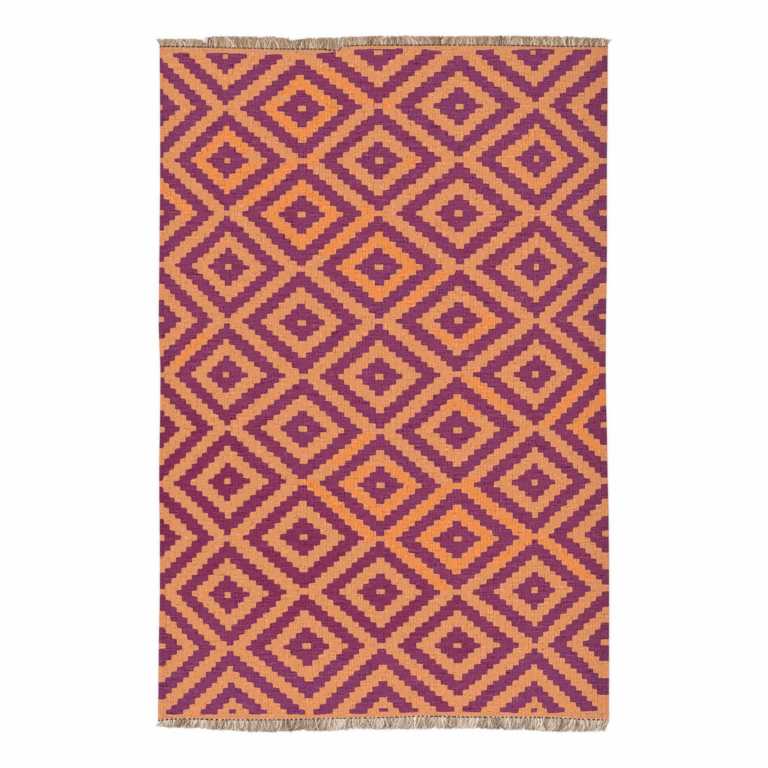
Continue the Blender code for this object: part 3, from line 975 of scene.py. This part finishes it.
class KILIM_OT_twine_ends(bpy.types.Operator):
    """Twine two yarns along each end of the cloth"""

    bl_idname = "kilim.twine_ends"
    bl_label = "Twine Ends"

    def execute(self, context):
        settings = context.scene.kilim_twine
        material = spun_yarn(
            "Two-strand wool twining",
            [settings.dark_yarn, settings.tan_yarn, settings.pale_yarn], ply_mm=2.4)
        for seed, end in ((40, "far"), (41, "near")):
            self.twine(end, settings, material, np.random.default_rng(seed))
        return {"FINISHED"}

    def twine(self, end, settings, material, chance):
        node = f"twined_edge_{end}"
        points = corners(node)
        low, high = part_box(node)
        floor_points = points[points[:, 2] < (low[2] + high[2]) / 2]
        xs = np.unique(floor_points[:, 0].round(6))
        middles = [
            np.mean(floor_points[abs(floor_points[:, 0] - x) < 1e-5, 1]) for x in xs]
        steps = round((xs[-1] - xs[0]) / settings.twist * TWINE_STEPS)
        x = np.linspace(xs[0], xs[-1], steps + 1)
        y = np.interp(x, xs, middles)
        # The dark yarn floats over for most of each turn and dips under for the rest.
        slip = smooth_chance(chance, x.shape, (TWINE_STEPS,), 0.07)
        slip += smooth_chance(chance, x.shape, (4 * TWINE_STEPS,), 0.15)
        turn = (x - xs[0]) / settings.twist + slip
        over = getattr(settings, end + "_dark") + smooth_chance(
            chance, x.shape, (3 * TWINE_STEPS,), 0.07)
        over = np.clip(over, 0.4, 0.84)
        # Where in its turn the dark yarn dives, at half its share, and comes up again
        part = turn % 1
        early = np.minimum(part, 1 - part)
        dive = np.clip((early - over / 2) / DIVE_TURN + 0.5, 0, 1)
        half_turn = np.minimum(early / (over / 2), 1) * LEVEL_TURN + (0.5 - LEVEL_TURN) * dive
        turned = np.floor(turn) + np.where(part < 0.5, half_turn, 1 - half_turn)
        middle = high[2] / 2
        rise = middle - PRESSED * settings.yarn_radius
        paths = np.array([
            np.column_stack([
                x, y + SWING_MM * MM * np.sin(angle), middle + rise * np.cos(angle)])
            for angle in (2 * math.pi * turned, 2 * math.pi * turned + math.pi)])
        radii = np.full(paths.shape[:2], settings.yarn_radius)
        radii[1] *= settings.thin
        points, faces, maps, owner = tubes(paths, radii, 8, 120, PRESSED)
        # The dark yarn is faded here and there.
        faded = 0.05 + 0.09 * np.clip(smooth_chance(chance, x.shape, (30 * TWINE_STEPS,), 1), 0, 3)
        place = [points[face[0], 0] for face in faces]
        tone = np.where(
            owner == 0, np.interp(place, x, faded), getattr(settings, end + "_light"))
        make_piece(
            f"twined_line_{end}", points, faces, material, node, maps,
            {"tone": tone})


class KILIM_OT_lay_fringes(bpy.types.Operator):
    """Lay out the cut warp ends beyond each twined line"""

    bl_idname = "kilim.lay_fringes"
    bl_label = "Lay Fringes"

    def execute(self, context):
        settings = context.scene.kilim_fringe
        for seed, end, usual, look, mean_lean in (
                (20, "far", settings.far_warp, "tanned", 0),
                (21, "near", settings.near_warp, "greyed", settings.near_lean)):
            material = spun_yarn(
                f"Undyed wool warp, cut and {look}",
                [settings.dark_warp, usual, settings.pale_warp], ply_mm=2.8)
            self.lay(end, settings, material, mean_lean, np.random.default_rng(seed))
        return {"FINISHED"}

    def lock_lines(self, node, outward):
        """Left and right corner of every lock of the frame's fringe, at root, bend and tip."""
        points = corners(node)
        heights = points[:, 2] / MM
        roots = points[abs(heights - LOCK_ROOT_MM) < 0.05]
        places = np.unique(roots[:, 0].round(5))[1:-1]
        outer = [
            outward * (outward * roots[abs(roots[:, 0] - x) < 2e-5, 1]).max() for x in places]
        lines = [np.column_stack([places, outer])]
        for height in (LOCK_BEND_MM, LOCK_TIP_MM):
            found = points[abs(heights - height) < 0.05]
            found = np.unique(found[:, :2].round(6), axis=0)
            lines.append(found[np.argsort(found[:, 0])])
        counts = [len(line) for line in lines]
        if len(set(counts)) != 1 or counts[0] % 2:
            raise RuntimeError(f"{node}: its locks have {counts} corners")
        return np.array(lines)[:, 0::2], np.array(lines)[:, 1::2]

    def spaced(self, locks, each):
        """So many even places in each lock, from -0.5 to 0.5, and the lock of each."""
        places = (np.arange(each) + 0.5) / each - 0.5
        return np.repeat(np.arange(locks), each), np.tile(places, locks)

    def lay(self, end, settings, material, mean_lean, chance):
        node = f"fringe_{end}"
        outward, stray, lock_spread, yarn_spread = FRINGE_ENDS[end]
        left, right = self.lock_lines(node, outward)
        locks = left.shape[1]
        # Each cut warp end leaves the line in its own place and strays its own way.
        lock, place = self.spaced(locks, settings.yarns)
        stray = stray * settings.lean
        lean = mean_lean + smooth_chance(chance, (locks,), (3,), 0.5 * stray)[lock]
        lean += chance.normal(0, stray, len(lock))
        tone = getattr(settings, end + "_tone")
        tone = tone + smooth_chance(chance, (locks,), (5,), lock_spread)[lock]
        tone += chance.normal(0, yarn_spread, len(lock))
        lift = chance.uniform(0.25, 1, len(lock))
        cut = chance.normal(0, 0.3 * MM, len(lock))
        # It opens into its plies, which spread towards the tip.
        across = np.tile(np.linspace(-0.5, 0.5, settings.plies), len(lock))
        across += chance.normal(0, 0.12, len(across))
        lock, place, lean, tone, lift, cut = (
            np.repeat(value, settings.plies) for value in (lock, place, lean, tone, lift, cut))
        shares = [place * chance.uniform(0.75, 1.05, locks)[lock], place, place]
        opening = np.outer([0.9 * MM, 0.6 * settings.open_tip, settings.open_tip], across)

        # Under them lies an even layer of shorter wool, its tone lowered as painted shade in the
        # gaps between the yarns.
        under_lock, under_place = self.spaced(locks, settings.under_plies)
        extra = len(under_lock)
        under_place += chance.normal(0, 0.03, extra)
        shares = [np.append(part, under_place) for part in shares]
        opening = np.pad(opening, ((0, 0), (0, extra)))
        lean = np.append(lean, mean_lean * 0.5 + chance.normal(0, 2 * MM, extra))
        tone = np.append(tone, tone.mean() - 0.16 + chance.normal(0, 0.12, extra))
        lift = np.append(lift, np.zeros(extra))
        cut = np.append(cut, np.full(extra, -1 * MM))
        lock = np.append(lock, under_lock)
        count = len(lock)

        root, bend, tip = (
            left[part][lock] * (0.5 - shares[part][:, None])
            + right[part][lock] * (0.5 + shares[part][:, None]) for part in range(3))
        root[:, 0] += opening[0]
        bend[:, 0] += opening[1] + 0.35 * lean
        tip[:, 0] += opening[2] + lean + chance.normal(0, 0.5 * MM, count)
        # They were cut along the frame's tips, and hardly one is longer.
        tip[:, 1] += outward * np.clip(
            cut + chance.normal(0, 0.4 * MM, count), -2 * MM, 0.6 * MM)
        # The outermost yarns stay by the frame's outermost locks.
        for part, knot in ((1, bend), (2, tip)):
            knot[:, 0] = np.clip(
                knot[:, 0], left[part][0, 0] - STRAY_MM * MM,
                right[part][-1, 0] + STRAY_MM * MM + 3 * mean_lean)
        # Each runs on one smooth curve, from inside the root strip over root, bend and tip.
        start = root - (0, outward * (ROOT_STRIP_MM - 0.2) * MM)
        lift = lift + chance.uniform(-0.1, 0.15, count)
        heights = (LOW_MM + np.outer(lift, LIFT_MM)) * MM
        knots = np.dstack([np.stack([start, root, bend, tip], axis=1), heights])
        along = STRAND_POINTS
        paths = np.einsum("sk,nkc->nsc", spline_weights(3 * along, 4), knots)
        # The wool keeps the crimp of the weave, and shows it where it lies free of its root.
        wave = chance.uniform(0, 2 * math.pi, (count, 1))
        wave = wave + along * chance.uniform(6, 13, (count, 1))
        free = np.clip(along * 2.5 - 0.5, 0, 1)
        paths[:, :, 0] += settings.crimp * np.sin(wave) * free
        paths[:, :, 2] += 0.4 * settings.crimp * np.cos(wave) * free
        # Each ply has its own thickness and thins to its tip, and the lowest lie on the floor.
        taper = np.interp(along, [0, 0.6, 1], [1, 0.95, 0.6])
        radii = settings.ply_radius * taper * chance.uniform(0.75, 1.25, (count, 1))
        radii[-extra:] *= 1.3
        paths[:, :, 2] = np.maximum(paths[:, :, 2], radii + 0.02 * MM)
        tone = np.clip(tone + chance.normal(0, 0.07, count), 0, 1)
        points, faces, maps, owner = tubes(paths, radii, 4, len(along) - 1)
        make_piece(
            f"warp_ends_{end}", points, faces, material, node, maps,
            {"tone": tone[owner]})


class KILIM_OT_set_stage(bpy.types.Operator):
    """Add the plain floor, the soft light and the camera straight above"""

    bl_idname = "kilim.set_stage"
    bl_label = "Set Stage"

    def execute(self, context):
        settings = context.scene.kilim_stage
        deselect_all()
        bpy.ops.mesh.primitive_plane_add(size=30, location=(0, 0, -0.1 * MM))
        floor = context.object
        floor.name = "floor"
        # Plain as a studio floor
        board, _ = new_material("Matt white board")
        floor.data.materials.append(finish_material(
            board, Base_Color=opaque(settings.floor), Roughness=0.95, Specular_IOR_Level=0.1))

        world = bpy.data.worlds.new("soft fill")
        world.use_nodes = True
        fill = world.node_tree.nodes["Background"].inputs
        fill["Strength"].default_value = settings.sky
        fill["Color"].default_value = (1, 1, 1, 1)
        context.scene.world = world
        bpy.ops.object.light_add(
            type="SUN", location=(-3, 3, 4), rotation=(math.radians(-38), math.radians(-32), 0))
        sun = context.object
        sun.name = "soft key"
        sun.data.energy = settings.sun
        sun.data.angle = math.radians(35)

        outline = ClothOutline()
        middle = (PHOTO_PIXELS - 1) / 2
        x = outline.start_x + (middle - LEFT_SELVEDGE_PIXEL) * PIXEL_MM * MM
        y = outline.start_y - (middle - FAR_LINE_PIXEL) * PIXEL_MM * MM
        bpy.ops.object.camera_add(location=(x, y, settings.camera_high), rotation=(0, 0, 0))
        camera = context.object
        camera.name = "camera above"
        camera.data.sensor_width = 36
        wide = PHOTO_PIXELS * PIXEL_MM * MM
        camera.data.lens = camera.data.sensor_width * settings.camera_high / wide
        context.scene.camera = camera
        context.scene.view_settings.view_transform = "Standard"
        return {"FINISHED"}


class KILIM_PT_rug(bpy.types.Panel):
    """The rug's sizes, dyes and steps"""

    bl_idname = "KILIM_PT_rug"
    bl_label = "Kilim Rug"
    bl_space_type = "VIEW_3D"
    bl_region_type = "UI"
    bl_category = "Kilim"

    def draw(self, context):
        for operator, settings_name, _ in STEPS:
            box = self.layout.box()
            settings = getattr(context.scene, settings_name)
            for name in settings.bl_rna.properties.keys():
                if name not in ("rna_type", "name"):
                    box.prop(settings, name)
            box.operator(operator)


# Each step's operator and the settings that it reads, in the order in which they run
STEPS = (
    ("kilim.twine_ends", "kilim_twine", KilimTwine),
    ("kilim.lay_fringes", "kilim_fringe", KilimFringe),
    ("kilim.weave_cloth", "kilim_weave", KilimWeave),
    ("kilim.set_stage", "kilim_stage", KilimStage),
)
CLASSES = (
    KilimWeave, KilimTwine, KilimFringe, KilimStage,
    KILIM_OT_weave_cloth, KILIM_OT_twine_ends, KILIM_OT_lay_fringes, KILIM_OT_set_stage,
    KILIM_PT_rug,
)


def register():
    for each in CLASSES:
        bpy.utils.register_class(each)
    for _, settings_name, group in STEPS:
        setattr(bpy.types.Scene, settings_name, PointerProperty(type=group))


def unregister():
    for _, settings_name, _ in STEPS:
        delattr(bpy.types.Scene, settings_name)
    for each in reversed(CLASSES):
        bpy.utils.unregister_class(each)


def main():
    """Register the add-on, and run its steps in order."""
    register()
    bpy.ops.kilim.twine_ends()
    bpy.ops.kilim.lay_fringes()
    bpy.ops.kilim.weave_cloth()
    bpy.ops.kilim.set_stage()


if __name__ == "__main__":
    main()
